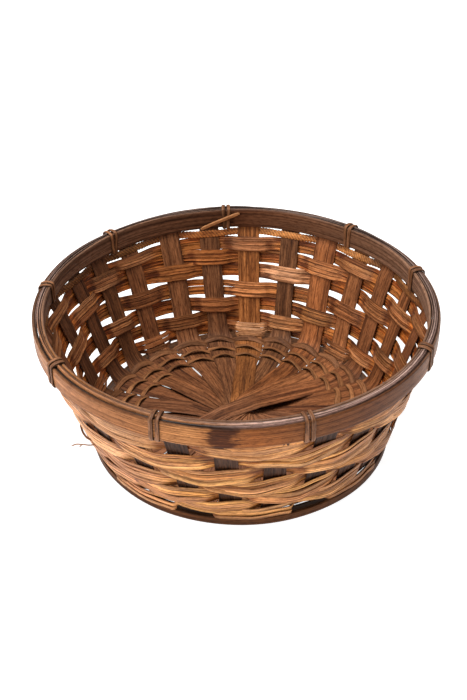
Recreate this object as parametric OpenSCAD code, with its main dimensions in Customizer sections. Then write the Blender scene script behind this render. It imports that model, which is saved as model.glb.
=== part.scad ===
// Round woven bowl basket of flat bamboo splints.
// Thirteen full-length splints cross at the centre of the floor and rise up both
// sides, so they give twenty-six wall stakes. Seven turns of flat weaver run
// round the stakes, outside two and inside one. The floor is held by three rows
// of paired strands. A split rim (outer hoop, inner hoop and strands between
// them) is bound on with nine lashings, and a hoop round the foot carries it.
// Origin: centre of the foot's underside. +Z up, front towards -Y.

/* [Bowl] */
// Outer radius of the rim hoop
rim_r = 125; // [122:0.5:130]
// Overall height, without the lashings that pass over the rim
rim_h = 97.2; // [95:0.2:100]
// Height of the foot hoop
foot_h = 8.8; // [7.6:0.2:8.8]

/* [Splints] */
// Width of each splint
splint_w = 13.2; // [11:0.2:13.4]
// Thickness of each splint
splint_t = 0.9; // [0.7:0.05:0.9]
// Angle of the first stake from the back, clockwise from above
first_angle = 4.7; // [0:0.1:13]
// How far the floor sits to the right of the rim's centre
lean_x = 2.5; // [0:0.1:3]

/* [Weave] */
// Thickness of the wall weavers
band_t = 1.0; // [0.7:0.1:1.0]
// Greatest height of a wall weaver
band_h = 9.6; // [7:0.2:10]
// How far a wall weaver bows out between the two stakes it passes outside
band_bow = 2.9; // [1.6:0.1:3.2]
// Width of each floor strand
strand_w = 3.6; // [2.6:0.1:3.6]
// Thickness of each floor strand
strand_t = 0.8; // [0.6:0.1:0.8]

/* [Rim] */
// Height of the outer hoop
outer_hoop_h = 12.8; // [11:0.2:12.8]
// How far the outer hoop's top sits below the strands inside the rim
outer_hoop_drop = 1.6; // [1.2:0.1:1.6]
// Thickness of the outer hoop
outer_hoop_t = 2.1; // [1.6:0.1:2.1]
// Height of the inner hoop
inner_hoop_h = 11.1; // [9:0.1:11.1]
// How much further down the inner hoop and the whipped strip reach at the back
back_sag = 2.8; // [0:0.1:2.8]
// Thickness of the inner hoop
inner_hoop_t = 1.7; // [1.2:0.1:1.7]
// Width of one lashing strand
lash_w = 2.3; // [1.6:0.1:2.4]
// Thickness of one lashing strand
lash_t = 0.8; // [0.5:0.1:0.8]

/* [Hidden] */

stakes = 26;
pitch = 360 / stakes;
kr = rim_r / 125;
kz = rim_h / 97.2;
floor_z = 5.5 * kz;
// Splints are thinner where they pile up on the floor than in the wall
floor_t = splint_t * 0.68;
layer = floor_t + 0.05;

// Mid line of a splint from the floor to the rim, as [radius, height]
wall = [[62, 5.5], [74, 5.5], [84, 5.6], [89.5, 6.5], [93, 8.7], [95.4, 11.8], [97.9, 17],
        [101.5, 28], [105.3, 40], [109.2, 52], [113.1, 64], [116.9, 75], [119.75, 81.8],
        [120.5, 85.5], [120.8, 92.4]];
wall_by_z = [for (p = wall) if (p[0] > 80) [p[1] * kz, p[0] * kr]];
function wall_r(z) = lookup(z, wall_by_z);
// Where the weave sits lower, round the back: 0 to 1 by stake
function back(s) = lookup(s > 13 ? s - stakes : s < -13 ? s + stakes : s, [[-7, 0], [-5, 0.5], [-3.5, 1], [5, 1], [6.5, 0.35], [7.5, 0]]);
function lean(z) = lean_x * (1 - min(z, 77 * kz) / (77 * kz));
function polar(r, a, z) = [r * sin(a) + lean(z), r * cos(a), z];
function stake_angle(s) = first_angle + pitch * s;

// Side faces of a tube of n rings with m points each, from a list of rings
function ring_faces(n, m, closed) = [
  for (i = [0 : n - (closed ? 1 : 2)], j = [0 : m - 1])
    [i * m + j, ((i + 1) % n) * m + j, ((i + 1) % n) * m + (j + 1) % m, i * m + (j + 1) % m]];
function end_faces(n, m) = [[for (j = [0 : m - 1]) j], [for (j = [m - 1 : -1 : 0]) (n - 1) * m + j]];
function flat(l) = [for (a = l, b = a) b];

module swept(rings, closed = false) {
  n = len(rings);
  m = len(rings[0]);
  side = ring_faces(n, m, closed);
  polyhedron(points = flat(rings),
             faces = closed ? side : concat(side, end_faces(n, m)), convexity = 10);
}

// ---- splints ---------------------------------------------------------------
// Each splint lies on the one before it where they cross, then all come down to
// one level and stand side by side. Between there they overlap like a fan, each
// tipped a little so that one edge is over its neighbour and one is under.
fan_in = 12;
fan_out = 62;
fan_u = [0, 5, 12, 20, 29, 38, 47, 55];
function lift(u) = u < fan_in ? 1 : u > fan_out ? 0 : 1 - (u - fan_in) / (fan_out - fan_in);
function thick(u) = u < 55 ? floor_t : u > 84 ? splint_t : floor_t + (splint_t - floor_t) * (u - 55) / 29;
function tip(u) = u < 20 ? 0.06 * u / 20 : u < 56 ? 0.06 + 0.02 * (u - 20) / 36 : u < 70 ? 0.08 * (70 - u) / 14 : 0;
function splint_layer(k) = (k + 13 - 5) % 13;
function splint_half(k) = concat(
  [for (u = fan_u) [u * kr, floor_z + splint_layer(k) * layer * lift(u), tip(u), thick(u)]],
  [for (p = wall) [p[0] * kr, p[1] * kz, tip(p[0]), thick(p[0])]]);
function splint_line(k) = let (h = splint_half(k), n = len(h))
  concat([for (i = [n - 1 : -1 : 1]) [-h[i][0], h[i][1], -h[i][2], h[i][3]]], h);
function splint_rings(k) = let (q = splint_line(k), n = len(q), a = stake_angle(k), w = splint_w / 2)
  [for (i = [0 : n - 1]) let (
      p = q[max(i - 1, 0)], r = q[min(i + 1, n - 1)], c = q[i],
      d = [r[0] - p[0], r[1] - p[1]] / norm([r[0] - p[0], r[1] - p[1]]),
      e = [-d[1], d[0]] * c[3] / 2)
    [for (v = [[-w, 1], [w, 1], [w, -1], [-w, -1]]) let (
        u = c[0] + v[1] * e[0], z = c[1] + v[1] * e[1] - c[2] * v[0])
      [u * sin(a) + v[0] * cos(a) + lean(z), u * cos(a) - v[0] * sin(a), z]]];

module splint(k) {
  color("#6b4a33") swept(splint_rings(k));
}

// ---- wall weavers ----------------------------------------------------------
// The seven turns climb by one row a turn, most of it on the right-hand side.
// Heights of the rows where they pass inside a stake, at the back, top row first
row_z = [75, 65, 54, 42.5, 31.5, 21, 12.4];
row_wave = [0.4, 0.8, 1, 1, 0.9, 0.7, 0.35];
row_gap = 0.35;
// How much lower each row is round the back
row_drop = [3.2, 2.4, 0.6, 1.8, 2.4, 2, 2.2];
// Rise and fall of a row round the wall, by stake
wave = [[-18.5, -5], [-17.5, -1.5], [-17, 0], [-16, -1], [-15, -2.5], [-13, -4], [-12, -6],
        [-11, -7.5], [-10, -6.5], [-9, -4], [-8, -1], [-7, 2], [-6, 5], [-5, 7], [-4, 6.5],
        [-3, 4], [-2, 2.5], [-1, 0], [0, -1.5], [3, -1], [4, -1.8], [5, -1], [6, 0.8], [7, 4.2],
        [7.5, 5.6]];
// Height of a row's middle; rows 0 and 8 stand for the strip above and the foot below
function row_mid(k, s) = k <= 0 ? 82.4 - back_sag * back(s) : k >= 8 ? 5.2 :
  s > 7.5 ? row_mid(k - 1, s - stakes) : s < -18.5 ? row_mid(k + 1, s + stakes) :
  row_z[k - 1] + row_wave[k - 1] * lookup(s, wave) - row_drop[k - 1] * back(s)
  + (abs(s + 5.5) > 11.5 ? (1 - row_wave[k - 1]) * (s > 0 ? 1 : -1) * 5.3 * (abs(s + 5.5) - 11.5) / 1.5 : 0);
function row_low(k, s) = max((foot_h + 0.4) / kz,
  row_mid(k, s) - band_h / 2, (row_mid(k, s) + row_mid(k + 1, s) + row_gap) / 2);
function row_high(k, s) = min(78.9 - back_sag * back(s),
  row_mid(k, s) + band_h / 2, (row_mid(k, s) + row_mid(k - 1, s) - row_gap) / 2);
function wrap3(i) = ((i % 3) + 3) % 3;
function row_inside(k, s) = wrap3(k + s) == 1;
// Distance of a row from the wall's mid surface at stake s, and half way to the next
in_gap = -(splint_t + band_t) / 2 - 0.2;
out_gap = (splint_t + band_t) / 2 + 0.45;
function row_bow(k) = k == 1 ? min(band_bow, 1.9) : band_bow;
function row_out(k) = out_gap + (k == 7 ? 0.6 : 0);
function row_at(k, s, side) = row_inside(k, s) ? in_gap :
  row_inside(k, s + side) ? row_out(k) : side == 0 ? (row_out(k) + row_bow(k)) / 2 - 0.3 :
  row_out(k) + 0.6 * (row_bow(k) - row_out(k));
function row_between(k, s) = row_inside(k, s) || row_inside(k, s + 1) ? (in_gap + row_out(k)) / 2 : row_bow(k);
// One turn ends and the next begins in a gap on the right, a stake apart from the turns above and below
turn_end = [0, 0, 1, -1, 1, 0, -1, 0];
function row_stations(k) = let (s0 = -18 + turn_end[k], s1 = 7 + turn_end[k - 1])
  concat([[s0 - 0.48, row_between(k, s0 - 1)]],
  flat([for (s = [s0 : s1]) [[s - 0.31, row_at(k, s, -1)], [s, row_at(k, s, 0)],
    [s + 0.31, row_at(k, s, 1)], [s == s1 ? s1 + 0.48 : s + 0.5, row_between(k, s)]]]));
module weaver_row(k) {
  color("#c08a52") swept([for (q = row_stations(k)) let (
      a = stake_angle(q[0]), z0 = row_low(k, q[0]), z1 = max(row_high(k, q[0]), z0 + 1.2),
      r0 = wall_r(z0 * kz) + q[1], r1 = wall_r(z1 * kz) + q[1], t = band_t / 2)
    [polar(r0 - t, a, z0 * kz), polar(r0 + t, a, z0 * kz), polar(r1 + t, a, z1 * kz), polar(r1 - t, a, z1 * kz)]]);
}

// Narrow whipped strip under the rim, outside every even stake and inside every odd one
whip_low = 79.3;
whip_high = 84.2;
whip_t = 0.8;
module whipped_strip() {
  g = (splint_t + whip_t) / 2 + 0.2;
  st = flat([for (s = [0 : stakes - 1]) let (o = s % 2 == 0 ? g + 0.2 : -g) [[s - 0.28, o], [s + 0.28, o], [s + 0.5, 0.1]]]);
  color("#b87a45") swept([for (q = st) let (a = stake_angle(q[0]),
      z0 = (whip_low - back_sag * back(q[0])) * kz, z1 = (whip_high - back_sag * back(q[0])) * kz,
      r0 = wall_r(z0) + q[1], r1 = wall_r(z1) + q[1], t = whip_t / 2)
    [polar(r0 - t, a, z0), polar(r0 + t, a, z0), polar(r1 + t, a, z1), polar(r1 - t, a, z1)]], closed = true);
}

// ---- floor strands ---------------------------------------------------------
// Two strands make a row: one is over a splint while the other is under it, and
// they change places in the gap between splints.
function strand_stations(first) = flat([for (s = [0 : stakes - 1]) let (
    over = (s + first) % 2 == 0 ? 1 : -1, h = (splint_t + strand_t) / 2 + 0.1, x = strand_w / 2 + 0.1)
  [[s - 0.4, over * 0.8 * x, over * h], [s, 0, over * (h + 0.15)], [s + 0.4, -over * 0.8 * x, over * h],
   [s + 0.5, -over * x, 0]]]);
module floor_strand(r, first) {
  w = strand_w / 2;
  t = strand_t / 2;
  color("#7d5a3c") swept([for (q = strand_stations(first)) let (
      a = stake_angle(q[0]), c = r * kr + q[1], z = floor_z + q[2])
    [polar(c - w, a, z - t), polar(c + w, a, z - t), polar(c + w, a, z + t), polar(c - w, a, z + t)]], closed = true);
}
strand_r = [71, 79, 87];
module floor_strand_inner_a() { floor_strand(strand_r[0], 0); }
module floor_strand_inner_b() { floor_strand(strand_r[0], 1); }
module floor_strand_middle_a() { floor_strand(strand_r[1], 0); }
module floor_strand_middle_b() { floor_strand(strand_r[1], 1); }

// The outer row lies where the floor starts to turn up, so its strands follow the splint
function turn_z(r) = lookup(r, [for (p = wall) if (p[0] < 94) [p[0] * kr, p[1] * kz]]);
module outer_strand(first) {
  w = 2.2 / 2;
  t = strand_t / 2;
  color("#7d5a3c") swept([for (q = strand_stations(first)) let (
      a = stake_angle(q[0]), c = (strand_r[2] - 1.6) * kr + q[1] * 0.62, z = turn_z(c) + q[2] * 1.08)
    [polar(c - w, a, z - t), polar(c + w, a, z - t), polar(c + w, a, z + t), polar(c - w, a, z + t)]], closed = true);
}
module floor_strand_outer_a() { outer_strand(0); }
module floor_strand_outer_b() { outer_strand(1); }

// ---- rim -------------------------------------------------------------------
module band(r0, r1, z0, z1, c = 0.3) {
  rotate_extrude($fn = 180)
    polygon([[r0 + c, z0], [r1 - c, z0], [r1, z0 + c], [r1, z1 - c], [r1 - c, z1], [r0 + c, z1], [r0, z1 - c], [r0, z0 + c]]);
}
inner_r = 119.1 * kr;
module outer_hoop() { color("#a5683c") band(rim_r - outer_hoop_t, rim_r, rim_h - outer_hoop_drop - outer_hoop_h, rim_h - outer_hoop_drop, 0.5); }
module inner_hoop() {
  n = 104;
  c = 0.4;
  color("#4a3224") swept([for (i = [0 : n - 1]) let (
      s = i * stakes / n, a = stake_angle(s), r0 = inner_r - inner_hoop_t, r1 = inner_r,
      z0 = 96.6 * kz - inner_hoop_h - back_sag * back(s), z1 = 96.6 * kz)
    [for (v = [[r0 + c, z0], [r1 - c, z0], [r1, z0 + c], [r1, z1 - c], [r1 - c, z1], [r0 + c, z1], [r0, z1 - c], [r0, z0 + c]])
      [v[0] * sin(a), v[0] * cos(a), v[1]]]], closed = true);
}
module rim_filler_inner() { color("#6a5548") band(119.2 * kr, 120.3 * kr, 92.9 * kz, 96.3 * kz); }
module rim_filler_middle() { color("#75604f") band(120.4 * kr, 121.55 * kr, 92.9 * kz, 97 * kz); }
module rim_filler_outer() { color("#6a5548") band(121.65 * kr, 122.75 * kr, 92.9 * kz, 96.6 * kz); }

// ---- lashings --------------------------------------------------------------
// Each lashing is two flat strands side by side, closed round both hoops. It goes
// through a gap between stakes, under the outer hoop and over the whipped strip.
// Each entry is [radius, height, spread, share of the inner hoop's sag].
lash_path = [[125.5, 94.4, 1, 0], [125.5, 88.6, 1, 0], [125.5, 83.6, 1, 0], [124.9, 82.2, 0.95, 0], [123.2, 81.9, 0.9, 0],
             [122, 82.6, 0.8, 0.25], [121.5, 83.8, 0.7, 0.65], [120.5, 84.9, 0.66, 1],
             [118.2, 84.9, 0.65, 1], [117, 85.1, 0.65, 1], [116.8, 86.4, 0.66, 1], [116.9, 90, 0.8, 0.3],
             [116.9, 95.8, 1, 0], [117.2, 97, 1, 0], [118.8, 97.7, 1, 0], [121.4, 97.8, 1, 0], [123.4, 97.3, 1, 0], [124.9, 96.5, 1, 0],
             [125.45, 95.5, 1, 0]];
lash_off = lash_w / 2 + 0.75;
module lash_strand(a, side, sag) {
  n = len(lash_path);
  q = [for (p = lash_path) [p[0] * kr, (p[1] - sag * p[3]) * kz, p[2]]];
  swept([for (i = [0 : n - 1]) let (
      c = q[i], p = q[(i + n - 1) % n], r = q[(i + 1) % n],
      d = [r[0] - p[0], r[1] - p[1]] / norm([r[0] - p[0], r[1] - p[1]]),
      e = [-d[1], d[0]] * lash_t / 2, o = side * lash_off * c[2], h = lash_w / 2)
    [for (v = [[-h, 1], [h, 1], [h, -1], [-h, -1]]) let (
        r2 = c[0] + v[1] * e[0], z2 = c[1] + v[1] * e[1], x = o + v[0])
      [r2 * sin(a) + x * cos(a), r2 * cos(a) - x * sin(a), z2]]], closed = true);
}
module lashing(gap) {
  color("#8a6242") {
    sag = back_sag * back(gap + 0.5);
    lash_strand(stake_angle(gap + 0.5), 1, sag);
    lash_strand(stake_angle(gap + 0.5), -1, sag);
  }
}
// Loose end of a lashing, left lying across the inside of the rim at the back
module lashing_tail() {
  p = polar(115.9 * kr, -12, 83.6 * kz);
  q = polar(115.9 * kr, 1.6, 94.6 * kz);
  d = q - p;
  color("#9a6a42") translate(p) rotate([0, 0, atan2(d[1], d[0])]) rotate([0, -atan2(d[2], norm([d[0], d[1]])), 0])
    translate([0, -0.9, -1.3]) cube([norm(d), 1, 2.6]);
}

// ---- foot ------------------------------------------------------------------
module foot_hoop() { color("#3f2c20") translate([lean(foot_h / 2), 0, 0]) band(94.3 * kr, 97.4 * kr, 0, foot_h, 0.4); }

splint(0);  // splint_01
splint(1);  // splint_02
splint(2);  // splint_03
splint(3);  // splint_04
splint(4);  // splint_05
splint(5);  // splint_06
splint(6);  // splint_07
splint(7);  // splint_08
splint(8);  // splint_09
splint(9);  // splint_10
splint(10);  // splint_11
splint(11);  // splint_12
splint(12);  // splint_13
weaver_row(1);  // weaver_row_1
weaver_row(2);  // weaver_row_2
weaver_row(3);  // weaver_row_3
weaver_row(4);  // weaver_row_4
weaver_row(5);  // weaver_row_5
weaver_row(6);  // weaver_row_6
weaver_row(7);  // weaver_row_7
whipped_strip();
floor_strand_inner_a();
floor_strand_inner_b();
floor_strand_middle_a();
floor_strand_middle_b();
floor_strand_outer_a();
floor_strand_outer_b();
inner_hoop();
outer_hoop();
rim_filler_inner();
rim_filler_middle();
rim_filler_outer();
lashing(-1);  // lashing_1
lashing(2);  // lashing_2
lashing(4);  // lashing_3
lashing(7);  // lashing_4
lashing(11);  // lashing_5
lashing(14);  // lashing_6
lashing(17);  // lashing_7
lashing(19);  // lashing_8
lashing(22);  // lashing_9
lashing_tail();
foot_hoop();
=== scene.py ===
import math

import bpy
import numpy as np
from mathutils import Matrix, Vector


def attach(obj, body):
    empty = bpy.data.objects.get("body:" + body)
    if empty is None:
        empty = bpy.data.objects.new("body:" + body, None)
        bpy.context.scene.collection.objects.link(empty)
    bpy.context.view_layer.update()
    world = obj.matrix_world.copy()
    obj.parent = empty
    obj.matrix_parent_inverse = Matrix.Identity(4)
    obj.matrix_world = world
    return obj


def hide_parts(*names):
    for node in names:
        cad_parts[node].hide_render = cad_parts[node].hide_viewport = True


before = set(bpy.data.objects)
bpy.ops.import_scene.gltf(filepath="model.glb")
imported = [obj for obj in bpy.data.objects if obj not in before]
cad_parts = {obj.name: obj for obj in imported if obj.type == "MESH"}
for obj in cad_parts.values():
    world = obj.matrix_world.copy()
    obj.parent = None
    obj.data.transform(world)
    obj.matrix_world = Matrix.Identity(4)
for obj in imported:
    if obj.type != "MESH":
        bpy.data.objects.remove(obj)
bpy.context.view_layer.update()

ROOT = "root"
MM = 0.001
LEAN = 2.5  # the floor sits this far to the right of the rim's centre, as in the CAD

# ---------------------------------------------------------------------------
# Camera, floor, light
# ---------------------------------------------------------------------------
scene = bpy.context.scene
scene.view_settings.view_transform = "Standard"
scene.view_settings.look = "None"


def camera():
    pitch, yaw, roll = math.radians(35.11), math.radians(-0.06), math.radians(-0.60)
    fwd = Vector((math.sin(yaw) * math.cos(pitch), math.cos(yaw) * math.cos(pitch), -math.sin(pitch)))
    right = Vector((math.cos(yaw), -math.sin(yaw), 0))
    up = right.cross(fwd)
    r2 = math.cos(roll) * right + math.sin(roll) * up
    u2 = -math.sin(roll) * right + math.cos(roll) * up
    data = bpy.data.cameras.new("camera")
    data.lens = 58.45
    data.sensor_width = 36
    data.clip_end = 20
    cam = bpy.data.objects.new("camera", data)
    scene.collection.objects.link(cam)
    m = Matrix((r2, u2, -fwd)).transposed().to_4x4()
    m.translation = Vector((-0.0012, -0.58981, 0.47396))
    cam.matrix_world = m
    scene.camera = cam


camera()


def area(name, at, aim, size, watts, colour=(1, 1, 1)):
    light = bpy.data.lights.new(name, "AREA")
    light.shape = "RECTANGLE"
    light.size, light.size_y = size
    light.energy = watts
    light.color = colour
    o = bpy.data.objects.new(name, light)
    scene.collection.objects.link(o)
    o.location = at
    o.rotation_mode = "QUATERNION"
    o.rotation_quaternion = (Vector(aim) - Vector(at)).to_track_quat("-Z", "Y")
    return o


area("softbox_top", (-0.3, -0.05, 1.4), (0, 0, 0.04), (0.9, 0.8), 24, (1.0, 0.99, 0.97))
area("softbox_front", (-1.1, -0.95, 0.8), (0, 0, 0.04), (0.8, 0.7), 9.5, (1.0, 0.99, 0.98))
area("softbox_side", (1.35, 0.1, 0.9), (0, 0, 0.04), (0.6, 0.8), 2.0, (0.98, 0.99, 1.0))

world = bpy.data.worlds.new("studio")
scene.world = world
world.use_nodes = True
world.node_tree.nodes["Background"].inputs["Color"].default_value = (1.0, 1.0, 1.0, 1)
world.node_tree.nodes["Background"].inputs["Strength"].default_value = 0.33


def floor():
    mesh = bpy.data.meshes.new("studio_floor")
    r = 4.0
    mesh.from_pydata([(-r, -r, -0.0002), (r, -r, -0.0002), (r, r, -0.0002), (-r, r, -0.0002)], [], [(0, 1, 2, 3)])
    o = bpy.data.objects.new("studio_floor", mesh)
    scene.collection.objects.link(o)
    mat = bpy.data.materials.new("studio_floor")
    mat.use_nodes = True
    b = mat.node_tree.nodes["Principled BSDF"]
    b.inputs["Base Color"].default_value = (0.55, 0.55, 0.55, 1)
    b.inputs["Roughness"].default_value = 0.9
    b.inputs["Specular IOR Level"].default_value = 0.1
    b.inputs["Emission Color"].default_value = (1, 1, 1, 1)
    b.inputs["Emission Strength"].default_value = 0.86
    mesh.materials.append(mat)


floor()

# ---------------------------------------------------------------------------
# Small tools
# ---------------------------------------------------------------------------


def lin(c):
    c = np.asarray(c, float) / 255
    return np.where(c <= 0.04045, c / 12.92, ((c + 0.055) / 1.055) ** 2.4)


class Wave:
    """Smooth wander with a given wavelength."""

    def __init__(self, rng, length, amp, n=5):
        self.k = 2 * math.pi * (0.45 + rng.random(n) * 1.4) / length
        self.p = rng.random(n) * 2 * math.pi
        self.a = amp * (0.5 + rng.random(n)) / math.sqrt(n) * 1.3

    def __call__(self, x):
        x = np.asarray(x, float)[..., None]
        return (self.a * np.sin(self.k * x + self.p)).sum(-1)


class Ring:
    """Smooth wander round a closed ring, of an angle in radians."""

    def __init__(self, rng, lo, hi, amp, n=6):
        self.k = rng.integers(lo, hi + 1, n)
        self.p = rng.random(n) * 2 * math.pi
        self.a = amp * (0.5 + rng.random(n)) / math.sqrt(n) * 1.3

    def __call__(self, x):
        x = np.asarray(x, float)[..., None]
        return (self.a * np.sin(self.k * x + self.p)).sum(-1)


def hermite(xs, ys, x):
    """Smooth curve through (xs, ys), one column or several, without overshoot."""
    xs, ys = np.asarray(xs, float), np.asarray(ys, float)
    flat = ys.ndim == 1
    if flat:
        ys = ys[:, None]
    h = np.diff(xs)[:, None]
    d = np.diff(ys, axis=0) / h
    m = np.zeros_like(ys)
    m[0], m[-1] = d[0], d[-1]
    if len(xs) > 2:
        same = (d[:-1] * d[1:]) > 0
        w1, w2 = 2 * h[1:] + h[:-1], h[1:] + 2 * h[:-1]
        with np.errstate(divide="ignore", invalid="ignore"):
            hm = (w1 + w2) / (w1 / d[:-1] + w2 / d[1:])
        m[1:-1] = np.where(same, hm, 0)
    x = np.clip(np.asarray(x, float), xs[0], xs[-1])
    i = np.clip(np.searchsorted(xs, x, side="right") - 1, 0, len(xs) - 2)
    t = ((x - xs[i]) / (xs[i + 1] - xs[i]))[..., None]
    hh = h[i]
    out = ((2 * t**3 - 3 * t**2 + 1) * ys[i] + (t**3 - 2 * t**2 + t) * hh * m[i]
           + (-2 * t**3 + 3 * t**2) * ys[i + 1] + (t**3 - t**2) * hh * m[i + 1])
    return out[..., 0] if flat else out


def catmull(pts, step):
    """Smooth curve through points, sampled at about one step."""
    pts = np.asarray(pts, float)
    t = np.concatenate([[0], np.cumsum(np.linalg.norm(np.diff(pts, axis=0), axis=1))])
    m = np.gradient(pts, t, axis=0)
    x = np.linspace(0, t[-1], max(8, int(t[-1] / step)))
    i = np.clip(np.searchsorted(t, x, side="right") - 1, 0, len(t) - 2)
    h = (t[i + 1] - t[i])[:, None]
    u = ((x - t[i]) / (t[i + 1] - t[i]))[:, None]
    return ((2 * u**3 - 3 * u**2 + 1) * pts[i] + (u**3 - 2 * u**2 + u) * h * m[i]
            + (-2 * u**3 + 3 * u**2) * pts[i + 1] + (u**3 - u**2) * h * m[i + 1])


def unit(v):
    return v / np.maximum(np.linalg.norm(v, axis=-1, keepdims=True), 1e-12)


def along(P, closed=False):
    """Tangent and running length of a line of points."""
    if closed:
        T = np.roll(P, -1, axis=0) - np.roll(P, 1, axis=0)
    else:
        T = np.gradient(P, axis=0)
    L = np.concatenate([[0], np.cumsum(np.linalg.norm(np.diff(P, axis=0), axis=1))])
    return unit(T), L


def section(nx, edge=0.07):
    """Unit cross-section of a flat strip with rounded edges: across a, thickness b, both -0.5 to 0.5."""
    inner = np.linspace(-0.5 + edge, 0.5 - edge, nx)
    a = np.concatenate([[-0.5, -0.5 + 0.25 * edge], inner, [0.5 - 0.25 * edge, 0.5]])
    b = np.full(len(a), 0.5)
    b[[0, -1]] = 0.17
    b[[1, -2]] = 0.38
    return np.concatenate([a, a[::-1]]), np.concatenate([b, -b[::-1]])


class Build:
    """Collects swept strips into one mesh with its grain coordinates, tint, and a mark attribute for real stains and
    painted shade.
    """

    def __init__(self, name):
        self.name = name
        self.V, self.F, self.G, self.C, self.S = [], [], [], [], []
        self.n = 0

    def sweep(self, V, G, C, S, closed=False, flip=False):
        n, m = V.shape[:2]
        idx = np.arange(n * m).reshape(n, m) + self.n
        A, B = (idx, np.roll(idx, -1, axis=0)) if closed else (idx[:-1], idx[1:])
        V = V.copy()
        V[..., 0] += LEAN * MM * (1 - np.clip(V[..., 2] / (77 * MM), 0, 1))
        q = np.stack([A, np.roll(A, -1, axis=1), np.roll(B, -1, axis=1), B], axis=-1).reshape(-1, 4)
        if not closed:
            h = m // 2
            for row, back in ((idx[0], True), (idx[-1], False)):
                c = np.stack([row[: h - 1], row[1:h], row[m - 2 : h - 1 : -1], row[m - 1 : h : -1]], axis=-1)
                q = np.concatenate([q, c[:, ::-1] if back else c])
        if flip:
            q = q[:, ::-1]
        self.V.append(V.reshape(-1, 3))
        self.F.append(q)
        self.G.append(np.broadcast_to(G, (n, m, 3)).reshape(-1, 3))
        self.C.append(np.broadcast_to(C, (n, m, 3)).reshape(-1, 3))
        self.S.append(np.broadcast_to(S, (n, m)).reshape(-1))
        self.n += n * m

    def strip(self, P, X, Y, W, T, tint, stain=0.0, nx=6, edge=0.12, crown=0.0, ridge=None, closed=False, seed=0, rim=0.3):
        """One flat strip: points P, across X, out of the face Y, width W, thickness T. tint is (top, bottom) or (n, m, 3)."""
        a, b = section(nx, edge)
        n, m = len(P), len(a)
        W = np.broadcast_to(np.asarray(W, float), (n,))[:, None]
        T = np.broadcast_to(np.asarray(T, float), (n,))[:, None]
        Tan, L = along(P, closed)
        yy = b[None] * T - crown * (2 * a[None]) ** 2
        if ridge is not None:
            yy = yy + ridge(L[:, None], a[None] * W, np.sign(b)[None])
        V = P[:, None] + (a[None] * W)[..., None] * X[:, None] + yy[..., None] * Y[:, None]
        rng = np.random.default_rng(seed + 77)
        off = rng.random(3) * 900
        G = np.stack([np.broadcast_to(L[:, None], (n, m)) + off[0], a[None] * W + off[1], b[None] * T + off[2]], axis=-1) * MM
        if isinstance(tint, tuple):
            k = np.clip(b * 1.6 + 0.5, 0, 1)[None, :, None]
            top, bottom = (np.asarray(c, float) for c in tint)
            if top.ndim == 1:
                top = top[None]
            if bottom.ndim == 1:
                bottom = bottom[None]
            C = top[:, None] * k + bottom[:, None] * (1 - k)
            # Painted shade: the colour darkens towards both edges of a strip, by the rim amount, for the shadow lines
            # between neighbouring strips.
            e = np.clip((np.abs(2 * a) - 0.68) / 0.32, 0, 1)
            C = C * (1 - rim * (e * e * (3 - 2 * e)))[None, :, None]
        else:
            C = tint
        S = np.broadcast_to(stain[:, None] if isinstance(stain, np.ndarray) and stain.ndim == 1 else stain, (n, m))
        det = np.einsum("i,i", np.cross(X[n // 2], Y[n // 2]), Tan[n // 2])
        self.sweep(V * MM, G, np.broadcast_to(C, (n, m, 3)), S, closed, flip=det > 0)

    def make(self, mat, nodes, sharp=None):
        V, F = np.concatenate(self.V), np.concatenate(self.F)
        me = bpy.data.meshes.new(self.name)
        me.vertices.add(len(V))
        me.vertices.foreach_set("co", V.astype(np.float32).ravel())
        me.loops.add(F.size)
        me.loops.foreach_set("vertex_index", F.astype(np.int32).ravel())
        me.polygons.add(len(F))
        me.polygons.foreach_set("loop_start", np.arange(0, F.size, 4, dtype=np.int32))
        me.polygons.foreach_set("use_smooth", np.ones(len(F), bool))
        me.update(calc_edges=True)
        g = me.attributes.new("gr", "FLOAT_VECTOR", "POINT")
        g.data.foreach_set("vector", np.concatenate(self.G).astype(np.float32).ravel())
        c = me.attributes.new("tint", "FLOAT_COLOR", "POINT")
        rgba = np.concatenate([np.concatenate(self.C), np.ones((self.n, 1))], axis=1)
        c.data.foreach_set("color", rgba.astype(np.float32).ravel())
        s = me.attributes.new("stain", "FLOAT", "POINT")
        s.data.foreach_set("value", np.concatenate(self.S).astype(np.float32))
        me.validate()
        if sharp:
            me.set_sharp_from_angle(angle=math.radians(sharp))
        o = bpy.data.objects.new(self.name, me)
        scene.collection.objects.link(o)
        me.materials.append(mat)
        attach(o, ROOT)
        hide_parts(*nodes)
        return o


# ---------------------------------------------------------------------------
# Materials
# ---------------------------------------------------------------------------


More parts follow.
